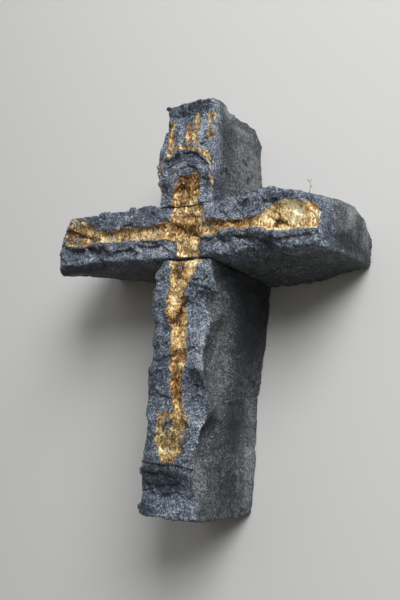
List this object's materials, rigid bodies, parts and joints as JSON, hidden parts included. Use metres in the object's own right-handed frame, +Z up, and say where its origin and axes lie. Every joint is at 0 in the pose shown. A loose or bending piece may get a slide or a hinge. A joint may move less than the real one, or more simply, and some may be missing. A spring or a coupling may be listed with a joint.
{
  "type": "rough-hewn granite wall cross with a gilded channel",
  "caption": "Rough-hewn granite wall cross in head, crossbar and shaft blocks, with a sunk gilded channel in the shape of a cross and worn gilded strokes.",
  "frame": {"origin": "on the wall plane, behind the middle of the crossing of the crossbar and the shaft", "axes": "+X to the right arm seen from the front, +Y into the wall, +Z up along the shaft"},
  "size_m": [0.4955, 0.1527, 0.6063],
  "materials": {
    "granite": "rock-faced and split, speckled, with worn gold leaf in the channel"
  },
  "bodies": {
    "root": {"head_block": "granite", "crossbar_block": "granite", "shaft_block": "granite"}
  },
  "joints": []
}
